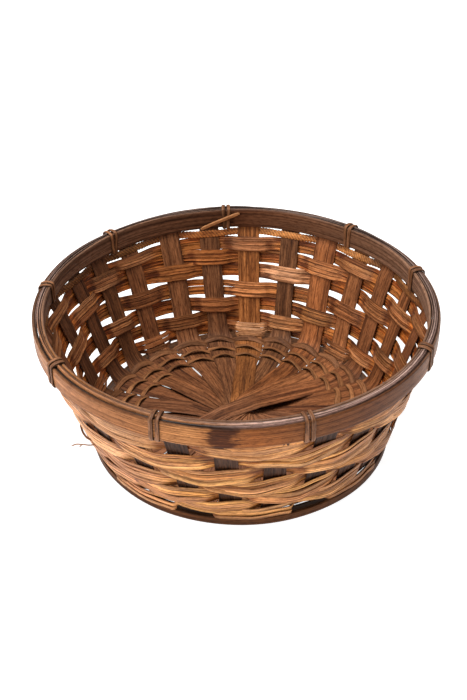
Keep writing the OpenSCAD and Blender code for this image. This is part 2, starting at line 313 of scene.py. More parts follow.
def wood(name, fibre=(26, 1500), streak=(9, 420), blotch=(22, 130), fibre_dark=(0.62, 0.56, 0.52), streak_dark=(0.66, 0.6, 0.55),
         streak_light=(1.22, 1.2, 1.18), blotch_dark=(0.8, 0.76, 0.72), blotch_light=(1.12, 1.1, 1.08), stain_and_shade_colour=(0.5, 0.3, 0.16),
         pore=0.5, rough=(0.38, 0.62), bump=0.35, depth=0.00022, sheen=0.0, spec=0.5, coat=0.0, ragged=2.4):
    mat = bpy.data.materials.new(name)
    mat.use_nodes = True
    nt = mat.node_tree
    N, L = nt.nodes, nt.links
    bsdf = N["Principled BSDF"]

    def attr(n):
        a = N.new("ShaderNodeAttribute")
        a.attribute_type = "GEOMETRY"
        a.attribute_name = n
        return a

    gr, tint, stain = attr("gr"), attr("tint"), attr("stain")

    def noise(scale, detail=3.0, rough_=0.55, off=(0, 0, 0)):
        m = N.new("ShaderNodeMapping")
        m.inputs["Scale"].default_value = (scale[0], scale[1], scale[1])
        m.inputs["Location"].default_value = off
        L.new(gr.outputs["Vector"], m.inputs["Vector"])
        t = N.new("ShaderNodeTexNoise")
        t.inputs["Scale"].default_value = 1.0
        t.inputs["Detail"].default_value = detail
        t.inputs["Roughness"].default_value = rough_
        L.new(m.outputs["Vector"], t.inputs["Vector"])
        return t.outputs["Fac"]

    def ramp(fac, stops):
        r = N.new("ShaderNodeValToRGB")
        e = r.color_ramp.elements
        while len(e) < len(stops):
            e.new(0.5)
        for i, (p, c) in enumerate(stops):
            e[i].position = p
            e[i].color = (*c, 1) if not isinstance(c, float) else (c, c, c, 1)
        L.new(fac, r.inputs["Fac"])
        return r.outputs["Color"]

    def mul(a, b, fac=1.0):
        m = N.new("ShaderNodeMix")
        m.data_type = "RGBA"
        m.blend_type = "MULTIPLY"
        m.clamp_result = False
        if isinstance(fac, float):
            m.inputs[0].default_value = fac
        else:
            L.new(fac, m.inputs[0])
        L.new(a, m.inputs[6])
        if isinstance(b, tuple):
            m.inputs[7].default_value = (*b, 1)
        else:
            L.new(b, m.inputs[7])
        return m.outputs[2]

    def math_(op, a, b, c=None):
        m = N.new("ShaderNodeMath")
        m.operation = op
        for i, v in enumerate((a, b, c)):
            if v is None:
                continue
            if isinstance(v, (int, float)):
                m.inputs[i].default_value = v
            else:
                L.new(v, m.inputs[i])
        return m.outputs[0]

    fib = noise(fibre, 5, 0.68)
    stk = noise(streak, 3, 0.6, (3.1, 1.7, 0.4))
    blo = noise(blotch, 2, 0.5, (7.7, 2.3, 5.1))
    por = noise((fibre[0] * 0.9, fibre[1] * 1.2), 2, 0.5, (1.3, 8.2, 3.3))
    col = mul(tint.outputs["Color"], ramp(fib, [(0.37, fibre_dark), (0.5, (1.0, 1.0, 1.0)), (0.63, (1.24, 1.23, 1.21))]))
    col = mul(col, ramp(stk, [(0.37, streak_dark), (0.5, (1.0, 1.0, 1.0)), (0.63, streak_light)]))
    col = mul(col, ramp(blo, [(0.34, blotch_dark), (0.66, blotch_light)]))
    spk = noise((260, 1100), 3, 0.7, (9.1, 4.4, 6.2))
    col = mul(col, ramp(spk, [(0.35, (0.6, 0.53, 0.47)), (0.47, (1.0, 1.0, 1.0)), (0.64, (1.25, 1.24, 1.22))]))
    col = mul(col, ramp(por, [(0.30, (0.35, 0.28, 0.24)), (0.37, (1.0, 1.0, 1.0))]), pore)
    # Stain and painted shade: deepest where the attribute is high, broken up along the grain
    patch = noise((60, 330), 4, 0.65, (5.5, 0.9, 2.2))
    amount = math_("MULTIPLY_ADD", stain.outputs["Fac"], 1.9, -0.95)
    amount = math_("ADD", amount, math_("MULTIPLY", math_("SUBTRACT", patch, 0.5), ragged))
    sm = N.new("ShaderNodeMapRange")
    sm.interpolation_type = "SMOOTHSTEP"
    sm.inputs["From Min"].default_value = -0.35
    sm.inputs["From Max"].default_value = 0.55
    L.new(amount, sm.inputs["Value"])
    stain_and_shade_mix = math_("MULTIPLY", sm.outputs["Result"], math_("MINIMUM", math_("MULTIPLY", stain.outputs["Fac"], 2.5), 1.0))
    col = mul(col, stain_and_shade_colour, stain_and_shade_mix)
    L.new(col, bsdf.inputs["Base Color"])
    r = N.new("ShaderNodeMapRange")
    r.inputs["From Min"].default_value = 0.3
    r.inputs["From Max"].default_value = 0.7
    r.inputs["To Min"].default_value = rough[1]
    r.inputs["To Max"].default_value = rough[0]
    L.new(stk, r.inputs["Value"])
    L.new(r.outputs["Result"], bsdf.inputs["Roughness"])
    h = math_("ADD", math_("MULTIPLY", fib, 0.55), math_("MULTIPLY", stk, 0.8))
    h = math_("ADD", h, math_("MULTIPLY", math_("MINIMUM", math_("MULTIPLY", por, 2.6), 1.0), 0.3))
    bp = N.new("ShaderNodeBump")
    bp.inputs["Strength"].default_value = bump
    bp.inputs["Distance"].default_value = depth
    L.new(h, bp.inputs["Height"])
    L.new(bp.outputs["Normal"], bsdf.inputs["Normal"])
    bsdf.inputs["Specular IOR Level"].default_value = spec
    bsdf.inputs["Sheen Weight"].default_value = sheen
    bsdf.inputs["Coat Weight"].default_value = coat
    bsdf.inputs["Coat Roughness"].default_value = 0.3
    return mat


M_SPLINT = wood("splint_wood", fibre=(60, 1200), fibre_dark=(0.42, 0.37, 0.34), streak_dark=(0.56, 0.5, 0.46), pore=0.75, rough=(0.46, 0.7), bump=0.5, spec=0.16)
M_WEAVER = wood("weaver_wood", fibre=(20, 1500), streak=(9, 700), fibre_dark=(0.36, 0.28, 0.2), streak_dark=(0.5, 0.4, 0.28), streak_light=(1.3, 1.28, 1.22),
                blotch_dark=(0.72, 0.64, 0.55), blotch_light=(1.16, 1.15, 1.13), pore=0.8, stain_and_shade_colour=(0.42, 0.3, 0.2), rough=(0.42, 0.64), bump=0.7, spec=0.2)
M_WHIP = wood("whipped_wood", fibre=(220, 900), streak=(30, 300), pore=0.2, rough=(0.4, 0.6), spec=0.3)
M_FLOOR = wood("floor_strand_wood", pore=0.4, rough=(0.5, 0.7), bump=0.5, spec=0.1)
M_HOOP = wood("hoop_wood", fibre=(9, 1300), streak=(3.5, 330), blotch=(16, 110), streak_dark=(0.58, 0.5, 0.42), streak_light=(1.22, 1.22, 1.2),
              fibre_dark=(0.5, 0.44, 0.38), pore=0.7, ragged=4.6, stain_and_shade_colour=(0.22, 0.15, 0.08), rough=(0.4, 0.6), bump=0.3, spec=0.14)
M_INNER = wood("inner_hoop_wood", fibre=(7, 800), streak=(3, 340), blotch=(12, 90), fibre_dark=(0.4, 0.35, 0.32), streak_dark=(0.46, 0.4, 0.36),
               pore=0.7, rough=(0.4, 0.6), bump=0.5, spec=0.2)
M_FILL = wood("rim_filler_wood", fibre=(7, 900), streak=(3, 500), blotch=(20, 120), fibre_dark=(0.3, 0.26, 0.24), streak_dark=(0.32, 0.27, 0.24), pore=0.8, rough=(0.36, 0.56), bump=0.6, spec=0.3)
M_LASH = wood("lashing_wood", fibre=(60, 2200), streak=(30, 800), pore=0.3, rough=(0.38, 0.58), bump=0.5, spec=0.2)
M_FOOT = wood("foot_hoop_wood", fibre=(9, 1200), streak=(4, 380), pore=0.5, rough=(0.46, 0.66), bump=0.4, spec=0.12)

# ---------------------------------------------------------------------------
# Frame geometry, from the CAD
# ---------------------------------------------------------------------------
STAKES = 26
PITCH = 360 / STAKES
FLOOR_Z = 5.5
THETA = {-7: -92.4, -6: -77.8, -5: -63.3, -4: -51.3, -3: -38.6, -2: -23.0, -1: -9.0, 0: 4.7, 1: 19.0, 2: 32.5, 3: 46.3, 4: 58.7, 5: 71.9, 6: 86.2,
         7: 100.9, 8: 114.8, 9: 128.5, 10: 141.9, 11: 155.3, 12: 169.3, 13: 183.4, 14: 196.9, 15: 210.9, 16: 225.4, 17: 239.7, 18: 253.9}
_base = np.array([THETA[s] for s in range(-7, 19)])
_s_all = np.arange(-7 - 26, 19 + 26)
_t_all = np.concatenate([_base - 360, _base, _base + 360])


def theta(s):
    return np.interp(s, _s_all, _t_all)


STAKE_W = {-6: 13.2, -5: 13.0, -4: 12.6, -3: 13.4, -2: 14.6, -1: 14.0, 0: 15.2, 1: 12.8, 2: 16.2, 3: 13.0, 4: 13.4, 5: 13.2, 6: 13.0}

WALL = [[62, 5.5], [74, 5.5], [84, 5.6], [89.5, 6.5], [93, 8.7], [95.4, 11.8], [97.9, 17], [101.5, 28], [105.3, 40], [109.2, 52], [113.1, 64],
        [116.9, 75], [119.75, 81.8], [120.5, 85.5], [120.8, 92.4]]
wall_line = catmull(WALL, 1.6)
_up = wall_line[wall_line[:, 0] > 86]


def wall_r(z):
    return np.interp(z, _up[:, 1], _up[:, 0])


BACK_SAG = 2.8


def back(s):
    """Where the weave sits lower, round the back: 0 to 1 by stake."""
    s = (np.asarray(s, float) + 13) % 26 - 13
    return np.interp(s, [-7, -5, -3.5, 5, 6.5, 7.5], [0, 0.5, 1, 1, 0.35, 0])


def polar(r, a_deg, z):
    a = np.radians(a_deg)
    r, a, z = np.broadcast_arrays(np.asarray(r, float), a, np.asarray(z, float))
    return np.stack([r * np.sin(a), r * np.cos(a), z], axis=-1)


def smooth(x, a, b):
    t = np.clip((np.asarray(x, float) - a) / (b - a), 0, 1)
    return t * t * (3 - 2 * t)


# ---------------------------------------------------------------------------
# Splints
# ---------------------------------------------------------------------------
FLOOR_T = 0.9 * 0.68
STEP = FLOOR_T + 0.05


def layer(k):
    base = (k + 13 - 5) % 13
    return {8: 9, 9: 8}.get(base, base)  # splint 0 lies over splint 1


def lift(u):
    return np.where(u < 12, 1.0, np.where(u > 62, 0.0, 1 - (u - 12) / 50))


def tip(u):
    return np.where(u < 20, 0.06 * u / 20, np.where(u < 56, 0.06 + 0.02 * (u - 20) / 36, np.where(u < 70, 0.08 * (70 - u) / 14, 0.0)))


INSIDE = {0: (166, 108, 60), 1: (118, 80, 52), 2: (152, 96, 56), 3: (146, 96, 60), 4: (124, 80, 50), 5: (128, 82, 50), 6: (120, 76, 48),
          -1: (122, 82, 54), -2: (128, 85, 55), -3: (126, 82, 52), -4: (102, 66, 41), -5: (94, 60, 38), -6: (98, 64, 42)}


FLOOR_TONE = {0: 0.5, 2: 0.56, 3: 0.8, 4: 1.15, -1: 0.9, -4: 1.35, -5: 1.35, -6: 1.4}


def splint(k):
    rng = np.random.default_rng(1000 + k)
    ends = (k, k + 13)
    u_in = np.arange(0, 62, 2.0)
    half_u = np.concatenate([u_in, wall_line[:, 0]])
    half_z0 = np.concatenate([np.full(len(u_in), FLOOR_Z), wall_line[:, 1]])

    def side(s, sign):
        u = half_u
        z = half_z0 + layer(k) * STEP * lift(u)
        t = tip(u) * np.ones_like(u)
        ss = s if s <= 6 else s - 26
        if k == 0:
            t = t * 0.15
            z = z + 0.9 * (1 - lift(u)) * (1 - smooth(u, 56, 70)) * smooth(u, 12, 25)
        if k == 1:
            t = t * 0.1
        if ss == -6:
            z = z + 1.2 * smooth(u, 18, 42) * (1 - smooth(u, 58, 76))
        if ss == -4:
            z = z + 1.5 * smooth(u, 20, 44) * (1 - smooth(u, 60, 74))
        d = math.radians(theta(s) - (4.7 + PITCH * s))
        lat = np.tan(d) * u * smooth(u, 0, 28) * sign
        w_wall = STAKE_W.get(ss, 13.2)
        share = {0: 1.0, 1: 0.92, 2: 1.0, -1: 1.02, -2: 1.11, -3: 1.11, 3: 0.98, 4: 0.96}.get(ss, 1.02)
        w_floor = np.clip(0.2417 * u * share, 14.6 if ss != 1 else 13.7, 20.2)
        w = w_floor + (w_wall - w_floor) * smooth(u, 86, 99)
        if ss in (-6, -4, -5):
            w = w - 0.5 * smooth(u, 40, 58) * (1 - smooth(u, 66, 80))
        return u * sign, z, t * sign, lat, w

    u1, z1, t1, l1, w1 = side(ends[1], -1)
    u0, z0, t0, l0, w0 = side(ends[0], 1)
    U = np.concatenate([u1[::-1], u0[1:]])
    Z = np.concatenate([z1[::-1], z0[1:]])
    TP = np.concatenate([t1[::-1], t0[1:]])
    LAT = np.concatenate([l1[::-1], l0[1:]])
    W = np.concatenate([w1[::-1], w0[1:]])
    a = math.radians(4.7 + PITCH * k)
    D, Lat, Up = np.array([math.sin(a), math.cos(a), 0]), np.array([math.cos(a), -math.sin(a), 0]), np.array([0, 0, 1.0])
    run = np.concatenate([[0], np.cumsum(np.hypot(np.diff(U), np.diff(Z)))])
    LAT = LAT + Wave(rng, 110, 0.25)(run)
    W = W + Wave(rng, 60, 0.32)(run)
    Z = Z + Wave(rng, 50, 0.10)(run) * smooth(np.abs(U), 20, 50) * (1 - smooth(Z, 80, 90))
    P = U[:, None] * D + Z[:, None] * Up + LAT[:, None] * Lat
    dU, dZ = np.gradient(U), np.gradient(Z)
    n = np.hypot(dU, dZ)
    Y = (-dZ / n)[:, None] * D + (dU / n)[:, None] * Up
    X = np.repeat(Lat[None], len(U), axis=0)
    ph = -TP[:, None]
    X = unit(X + ph * Y)
    Y = unit(Y - ph * Lat[None])
    rr = [(rng.uniform(-6, 6), rng.uniform(0.35, 0.7), rng.uniform(0.06, 0.16)) for _ in range(9)]
    deep = [(rng.uniform(-4.2, 4.2), rng.uniform(0.22, 0.32), rng.uniform(0.2, 0.3)) for _ in range(2)]
    sway = Wave(rng, 160, 0.5)

    def ridge(Ls, A, side_):
        x = A + sway(Ls[:, 0])[:, None]
        out = 0.0
        for c, w, h in rr:
            out = out + 0.8 * h * np.exp(-(((x - c) / w) ** 2))
        for c, w, h in deep:
            out = out - h * np.exp(-(((x - c) / w) ** 2))
        out = out + 0.05 * np.sin(x * 3.1 + side_ * 1.3) + 0.03 * np.sin(x * 7.3 + Ls * 0.02)
        return out * side_ * np.clip(1 - (np.abs(A) / (W[:, None] / 2)) ** 6, 0, 1)

    ss = [s if s <= 6 else s - 26 for s in ends]
    top_a, top_b = lin(INSIDE.get(ss[1], (134, 90, 62))), lin(INSIDE.get(ss[0], (134, 90, 62)))
    mixk = smooth(U, -18, 18)[:, None]
    top = top_a * (1 - mixk) + top_b * mixk
    dark = np.where(U < 0, FLOOR_TONE.get(ss[1], 0.86), FLOOR_TONE.get(ss[0], 0.86))
    dark = (1 + (dark - 1) * (1 - smooth(np.abs(U), 78, 96)))[:, None] * np.array([1.0, 0.95, 0.93])
    top = top * (1 - (1 - dark) * smooth(np.abs(U), 6, 26)[:, None])
    bottom = lin((60, 35, 20)) * rng.uniform(0.85, 1.15)
    b = Build(f"splint_{k + 1:02d}_split_bamboo")
    T = 0.56 + 0.24 * smooth(np.abs(U), 55, 84)
    # Painted light: the outside face is lightened low on the wall, near the foot, where it lies in shade.
    low = 1 + 1.3 * (1 - smooth(Z, 11, 20)) * smooth(np.abs(U), 84, 92)
    b.strip(P, X, Y, W, T, (top, bottom[None] * low[:, None]), stain=0.10 + 0.12 * smooth(Z, 60, 90), nx=22, edge=0.03, ridge=ridge, seed=k, rim=0.2)
    b.make(M_SPLINT, [f"splint_{k + 1:02d}"])


for k in range(13):
    splint(k)

# ---------------------------------------------------------------------------
# Wall weavers
# ---------------------------------------------------------------------------
ROW_Z = [75, 65, 54, 42.5, 31.5, 21, 12.4]
ROW_WAVE = [0.4, 0.8, 1, 1, 0.9, 0.7, 0.35]
ROW_DROP = [3.2, 2.4, 0.6, 1.8, 2.4, 2, 2.2]
WAVE = np.array([[-18.5, -5], [-17.5, -1.5], [-17, 0], [-16, -1], [-15, -2.5], [-13, -4], [-12, -6], [-11, -7.5], [-10, -6.5], [-9, -4], [-8, -1],
                 [-7, 2], [-6, 5], [-5, 7], [-4, 6.5], [-3, 4], [-2, 2.5], [-1, 0], [0, -1.5], [3, -1], [4, -1.8], [5, -1], [6, 0.8], [7, 4.2],
                 [7.5, 5.6]])


def row_mid(k, s):
    """Height of the middle of row k at stake position s."""
    s = np.asarray(s, float)
    out = np.empty_like(s)
    for i, v in np.ndenumerate(s):
        kk, x = k, v
        while x > 7.5:
            kk, x = kk - 1, x - STAKES
        while x < -18.5:
            kk, x = kk + 1, x + STAKES
        if kk <= 0:
            out[i] = 82.4 - BACK_SAG * back(v)
        elif kk >= 8:
            out[i] = 5.2
        else:
            wv = ROW_WAVE[kk - 1]
            end = (1 - wv) * (1 if x > 0 else -1) * 5.3 * (abs(x + 5.5) - 11.5) / 1.5 if abs(x + 5.5) > 11.5 else 0
            out[i] = ROW_Z[kk - 1] + wv * np.interp(x, WAVE[:, 0], WAVE[:, 1]) + end - ROW_DROP[kk - 1] * back(x)
    return out


# Position x runs 0 to 3 stakes, from one inside stake to the next
FAN_X = [0, 0.3, 0.6, 1.0, 1.4, 1.7, 2.0, 2.4, 2.72, 3.0]
FRONT_TOP = [5.0, 6.2, 7.2, 7.5, 6.2, 5.2, 4.5, 4.2, 4.4, 5.0]
FRONT_LOW = [-4.7, -4.8, -5.6, -7.6, -9.0, -7.8, -5.2, -3.2, -2.6, -4.7]
BACK_TOP = [5.3, 5.3, 5.2, 5.1, 5.0, 5.0, 5.1, 5.2, 5.3, 5.3]
BACK_LOW = [-5.3, -5.3, -5.2, -5.2, -5.2, -5.1, -5.1, -5.2, -5.3, -5.3]
OUT_X = [0, 0.19, 0.3, 0.45, 0.62, 1.0, 1.5, 2.0, 2.35, 2.55, 2.72, 2.83, 3.0]
OUT_R = [-0.95, -0.95, -0.6, 0.5, 1.6, 2.2, 3.1, 2.3, 1.5, 0.5, -0.6, -0.95, -0.95]

ROW_SCALE = [0.95, 0.98, 1.0, 1.0, 0.96, 0.88, 0.6]
GOLD = [(206, 148, 80), (196, 136, 72), (216, 162, 96), (190, 128, 68), (208, 152, 88)]
PINK = [(212, 156, 112), (218, 166, 122), (202, 144, 104)]
BROWN = [(150, 98, 62), (160, 110, 74), (138, 90, 58), (154, 104, 66), (144, 92, 58)]
# The last palette is painted light: the bright orange of light shining through and bouncing between the strips.
BOUNCE_LIGHT_ORANGE = [(170, 98, 44), (158, 88, 40), (178, 112, 58)]


def stray(b, seed):
    """Loose fibres standing off the wall at the left."""
    up = np.array([0, 0, 1.0])
    root = polar(102.8, 241.0, 24.0)
    for i, (pts, w, t) in enumerate((
            ([root + np.array(v) for v in ((1.5, 0, 0.2), (-3.0, 0, -0.3), (-7.5, 0, 0.3), (-11.5, 0, 0.4), (-14.0, 0, -0.9))], 0.75, 0.5),
            ([root + np.array(v) for v in ((-7.0, 0, 0.2), (-8.6, 0, -0.8), (-9.2, 0, -2.0))], 0.6, 0.4),
            ([polar(r, a, z) for r, a, z in ((106.6, 243.6, 43.0), (107.9, 243.4, 39.5), (108.0, 243.0, 35.0), (106.2, 242.4, 29.5), (101.0, 241.6, 24.5))], 1.3, 0.5))):
        line = catmull(np.array(pts), 0.5)
        Tan, _ = along(line)
        X = unit(np.cross(Tan, polar(1.0, 160.0, 0.0)))
        Y = unit(np.cross(X, Tan))
        b.strip(line, X, Y, w, t, (np.repeat(lin((150, 104, 66))[None], len(line), 0), np.repeat(lin((110, 74, 46))[None], len(line), 0)), stain=0.2, nx=3,
                edge=0.2, seed=seed + i)


# Inside bar colours by (row, stake): the pale (3, 1) and (7, 0) are a painted sheen, a painted reflection; the rest are
# the bars' own tones.
BAR_TONES_AND_SHEEN = {(3, 1): (208, 154, 116), (4, 0): (184, 122, 76), (1, 0): (160, 106, 70), (7, 0): (206, 154, 114), (2, 2): (170, 110, 66), (5, 2): (140, 92, 52),
        (6, 1): (184, 128, 84), (2, -1): (172, 106, 56), (5, -1): (156, 98, 58), (3, -2): (152, 94, 50), (6, -2): (140, 90, 54), (4, 3): (142, 90, 54),
        (7, 3): (140, 92, 58), (4, -3): (134, 84, 50), (3, 4): (146, 96, 60)}


def weaver_row(k):
    rng = np.random.default_rng(500 + k)
    first = -19 + ((1 - k + 19) % 3)  # lowest inside stake at or after -19
    last = first + 27
    s0, s1 = first - 0.12, last + 0.1
    s = np.arange(s0, s1, 0.05)
    b = Build(f"weaver_row_{k}_strips")
    count = {1: 3, 2: 4, 3: 3, 4: 4, 5: 3, 6: 4}.get(k, 3)
    if k == 7:
        count = 3
    mid = row_mid(k, s)
    span = np.floor((s - first) / 3).astype(int)
    x = (s - first) - 3 * span
    x = np.where(span < 0, (s - first) + 3, x)
    nspan = 12
    scale = ROW_SCALE[k - 1]
    th = theta(s)
    front = 1 - smooth(np.abs(((th - 180 + 180) % 360) - 180), 68, 96)
    front_off = 1 - front
    vary_top = rng.normal(0, 0.4, nspan)
    vary_low = rng.normal(0, 0.7, nspan)
    vary_out = rng.normal(0, 0.25, nspan)
    fan = smooth(x, 0.3, 0.8) * (1 - smooth(x, 2.2, 2.75))
    sp = np.clip(span, 0, nspan - 1)
    top = (hermite(FAN_X, FRONT_TOP, x) * front + hermite(FAN_X, BACK_TOP, x) * (1 - front)) * scale + vary_top[sp] * fan
    low = (hermite(FAN_X, FRONT_LOW, x) * front + hermite(FAN_X, BACK_LOW, x) * (1 - front)) * scale + vary_low[sp] * fan
    if k == 1:
        low = low + front * 2.2 * smooth(x, 1.0, 1.7)
    if k == 7:
        top, low = top + 2.9 * (1 - front) + 1.2 * front * (1 - fan), low + 0.3 * (1 - front) - 2.0 * front * (smooth(x, 1.7, 2.3) + 1 - smooth(x, 0.35, 0.9))
    out = hermite(OUT_X, OUT_R, x) + vary_out[sp] * fan
    if k == 1:
        out = np.where(out > 0, out * 0.8, out)
    share = rng.uniform(0.6, 1.4, count)
    share = share / share.sum()
    gaps = rng.dirichlet(np.full(count - 1, 0.3), nspan)  # where a span opens between its strips
    height = top - low
    total = (10.6 + 4.5 * front) * scale
    if k == 7:
        total = np.maximum(total * (1 + 0.18 * front), 0.98 * height * (1 - front))
    spare = height - total
    crowd = np.clip(-spare / total, 0, 1)
    inside = 1 - smooth(out, -0.4, 1.0)
    left = np.zeros_like(s)
    for j in range(count):
        q = (j + 0.5) / count
        before = (share[:j].sum() + share[j] / 2) * total
        if j > 0:
            left = left + gaps[sp, j - 1] * np.maximum(spare, 0)
        squeeze = 1 - crowd
        zc = mid + top - before * squeeze - left
        zc = zc + Wave(rng, 1.7, 0.22)(s) * fan * (0.35 + 0.65 * front)
        if k == 1:
            zc = zc + 3.2 * smooth(th, 193, 198) * (1 - smooth(th, 205, 210)) * (0.5 if j else 1.0)
        if k == 7:
            zc = zc - 2.4 * smooth(th, 194, 206) * (1 - smooth(th, 224, 246)) * fan - 1.2 * smooth(th, 110, 130) * (1 - smooth(th, 186, 196)) * fan
        w = share[j] * total * (1.03 + 0.07 * (1 - front) + Wave(rng, 5, 0.05)(s)) * (1 - 0.55 * crowd * inside)
        off = out + (q - 0.5) * (1.0 * fan + 2.6 * crowd * (1 - inside)) - 0.35 * crowd * inside + (0.25 if j % 2 else -0.25) * crowd * inside
        off = off + Wave(rng, 2.3, 0.12)(s) * fan
        if k == 1:
            zc = np.minimum(zc, 78.8 - BACK_SAG * back(s) - w / 2)
        r = wall_r(zc) + off
        # clear of the foot hoop
        need = 98.0 + 0.35 * q
        push = 1 - smooth(zc - w / 2, 8.6, 11.5)
        r = np.where(out > 0.2, r + np.maximum(need - r, 0) * push * smooth(out, 0.2, 1.4), r)
        floor_gap = 9.0 - (0.9 * front_off + 1.8 * front * (1 - smooth(out, -0.85, -0.4)) if k == 7 else 0.0)
        zc = np.where(out <= 0.2, np.maximum(zc, floor_gap + w / 2 * (1 - smooth(out, -0.5, 0.2))), zc)
        P = polar(r, th, zc)
        # The face leans with the wall; shingled where strips crowd
        lean = math.radians(17) + np.radians(8 * fan * (0.5 - q)) - np.radians(20) * crowd * (1 - inside) * front + np.radians(9) * (1 - front)
        radial = polar(1.0, th, 0.0)
        up = np.array([0, 0, 1.0])
        Tan, _ = along(P)
        Xv = unit(np.sin(lean)[:, None] * radial + np.cos(lean)[:, None] * up)
        Xv = unit(Xv - (Xv * Tan).sum(-1, keepdims=True) * Tan)
        Yv = unit(np.cross(Xv, Tan))
        Yv = Yv * np.sign((Yv * radial).sum(-1, keepdims=True))
        pal = np.array([GOLD[rng.integers(len(GOLD))] for _ in range(1)])[0]
        pk = np.array(PINK[rng.integers(len(PINK))])
        side = (1 - smooth(np.abs(((th - 235 + 180) % 360) - 180), 12, 45))[:, None]
        outer = lin(pal)[None] * (1 - side) + lin(pk)[None] * side
        # Painted shade: the outer face darkens towards the right side of the basket, away from the light.
        right = (1 - smooth(th % 360, 134, 160))[:, None] * (1 - side)
        outer = outer * (1 - 0.55 * right) + lin((133, 88, 62))[None] * 0.55 * right
        tone = 1 + 0.10 * np.clip(Wave(rng, 4.0, 1.0)(s), -1.5, 1.5) + rng.normal(0, 0.12, nspan)[sp] * fan
        blush = (np.clip(rng.normal(0.15, 0.35, nspan), 0, 0.8)[sp] * fan)[:, None]
        outer = outer * (1 - blush) + lin(pk)[None] * 0.92 * blush
        # Painted light: the inner face turns bright orange where the strip runs outside the stakes, for light shining
        # through and bouncing.
        mid_span = smooth(out, 0.4, 1.6)[:, None]
        inner = lin(BROWN[rng.integers(len(BROWN))])[None] * (1 - mid_span) + lin(BOUNCE_LIGHT_ORANGE[rng.integers(len(BOUNCE_LIGHT_ORANGE))])[None] * mid_span
        inner = inner * (1 + 0.25 * np.clip(Wave(rng, 3.0, 1.0)(s), -1.3, 1.3))[:, None]
        for (kk, si), colour in BAR_TONES_AND_SHEEN.items():
            if kk == k:
                near = (1 - smooth(np.abs(s - si), 0.42, 0.85))[:, None]
                inner = inner * (1 - near) + lin(colour) * (1 + 0.15 * np.clip(Wave(rng, 1.5, 1.0)(s), -1.2, 1.2))[:, None] * near
        # Painted shade: darker at both ends of each span, where the strips duck behind the inside stakes; the random
        # wave adds real stains.
        stain = 0.14 + 0.6 * (1 - smooth(x, 0.25, 0.85)) + 0.66 * smooth(x, 2.15, 2.6) + 0.12 * np.clip(Wave(rng, 6, 1.0)(s), -1, 1.5)
        stain = stain * (1 - 0.75 * (1 - front) * inside)
        stain = np.clip(stain, 0, 0.9)
        b.strip(P, Xv, Yv, w, 0.6, (outer * tone[:, None], inner), stain=stain, nx=8, edge=0.1, crown=0.07, seed=k * 10 + j,
                ridge=lambda Ls, A, sd: (0.05 * np.sin(A * 5.2 + 1.3) + 0.03 * np.sin(A * 9.1)) * sd, rim=0.4)
    if k == 2:
        stray(b, 900)
    b.make(M_WEAVER, [f"weaver_row_{k}"])


for k in range(1, 8):
    weaver_row(k)


# ---------------------------------------------------------------------------
# Whipped strip: a flat core wound with a fine strand
# ---------------------------------------------------------------------------
def whipped():
    rng = np.random.default_rng(61)
    s = np.arange(0, 26, 26 / 3600)
    ph = s % 2
    off = hermite([0, 0.3, 0.5, 0.7, 1.3, 1.5, 1.7, 2.0], [1.15, 0.95, 0.1, -0.95, -0.95, 0.1, 0.95, 1.15], ph)
    zc = 81.8 + Ring(rng, 2, 9, 0.35)(s / 26 * 2 * math.pi) - BACK_SAG * back(s)
    th = theta(s)
    a, b_ = section(6, 0.22)
    L = np.radians(1) * 120 * th
    W, T = 4.7, 1.05
    wind = (L[:, None] / 2.3 + a[None] * 1.6) % 1.0
    bump = 0.42 * np.sqrt(np.clip(1 - (2 * wind - 1) ** 2, 0, 1)) - 0.26
    r = wall_r(zc) + off
    P = polar(r, th, zc)
    radial = polar(1.0, th, 0.0)
    lean = math.radians(17)
    X = unit(math.sin(lean) * radial + math.cos(lean) * np.array([0, 0, 1.0]))
    Tan, run = along(P, True)
    X = unit(X - (X * Tan).sum(-1, keepdims=True) * Tan)
    Y = unit(np.cross(X, Tan))
    Y = Y * np.sign((Y * radial).sum(-1, keepdims=True))
    nrm = np.stack([np.sign(a) * (np.abs(a) > 0.46), np.sign(b_)], -1)
    V = (P[:, None] + ((a * W)[None] + bump * nrm[None, :, 0])[..., None] * X[:, None]
         + ((b_ * T)[None] + bump * nrm[None, :, 1])[..., None] * Y[:, None])
    G = np.stack([run[:, None] + 0 * a[None], a[None] * W + 0 * run[:, None], b_[None] * T + 0 * run[:, None]], -1) * MM
    c0, c1 = lin((216, 146, 82)), lin((176, 108, 56))
    tone = (0.5 + 0.5 * np.clip(Ring(rng, 3, 14, 1.0)(np.radians(th)), -1, 1))[:, None, None]
    shade = 1 - 0.62 * smooth(np.abs(((th - 12 + 180) % 360) - 180), 26, 46)
    # Painted shade: the colour darkens in the grooves between the windings, where the bump is low, and by the shade
    # factor away from the back.
    C = shade[:, None, None] * (c0 * tone + c1 * (1 - tone)) * (0.16 + 0.84 * np.clip((bump + 0.26) / 0.36, 0, 1) ** 1.4)[..., None]
    b = Build("whipped_strip_wound")
    det = np.einsum("i,i", np.cross(X[5], Y[5]), Tan[5])
    b.sweep(V * MM, G, C, np.full(V.shape[:2], 0.15), closed=True, flip=det > 0)
    b.make(M_WHIP, ["whipped_strip"])


whipped()


